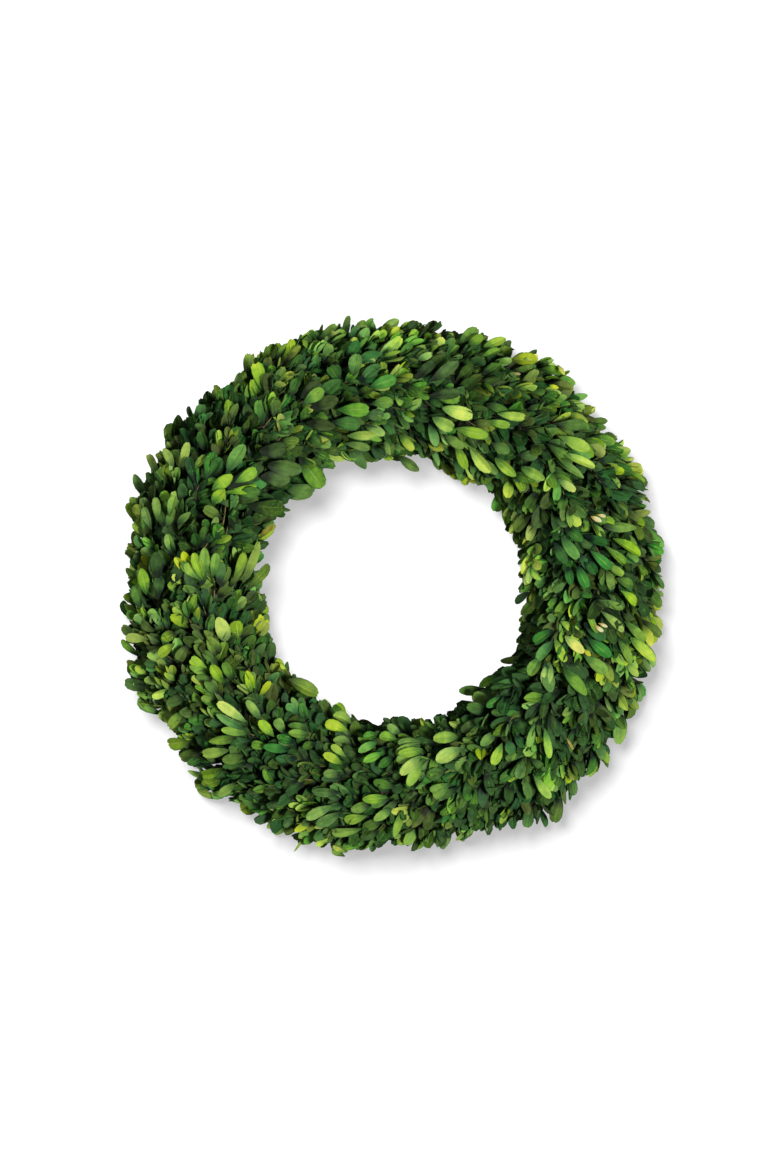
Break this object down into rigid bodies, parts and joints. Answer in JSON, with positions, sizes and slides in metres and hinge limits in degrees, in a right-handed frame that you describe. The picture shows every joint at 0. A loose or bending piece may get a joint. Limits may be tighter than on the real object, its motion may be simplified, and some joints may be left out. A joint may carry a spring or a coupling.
{
  "type": "boxwood wreath",
  "caption": "Round wreath of overlapping leafy boxwood bunches, all leaning clockwise, bound with wire on a ring of straw, open in the middle.",
  "frame": {"origin": "centre of the ring on the plane that the wreath's back rests on", "axes": "+Z out of the leafy front, +Y towards the top of the wreath as it hangs, +X to the right as seen from the front"},
  "size_m": [0.3047, 0.3031, 0.0662],
  "materials": {
    "boxwood": "satin",
    "straw": "matte",
    "wire": "satin"
  },
  "bodies": {
    "root": {"straw_ring": "straw", "binding_wire": "wire", "boxwood_bunch_01": "boxwood", "boxwood_bunch_02": "boxwood", "boxwood_bunch_03": "boxwood", "boxwood_bunch_04": "boxwood", "boxwood_bunch_05": "boxwood", "boxwood_bunch_06": "boxwood", "boxwood_bunch_07": "boxwood", "boxwood_bunch_08": "boxwood", "boxwood_bunch_09": "boxwood", "boxwood_bunch_10": "boxwood", "boxwood_bunch_11": "boxwood", "boxwood_bunch_12": "boxwood", "boxwood_bunch_13": "boxwood", "boxwood_bunch_14": "boxwood", "boxwood_bunch_15": "boxwood", "boxwood_bunch_16": "boxwood", "boxwood_bunch_17": "boxwood", "boxwood_bunch_18": "boxwood", "boxwood_bunch_19": "boxwood", "boxwood_bunch_20": "boxwood"}
  },
  "joints": []
}
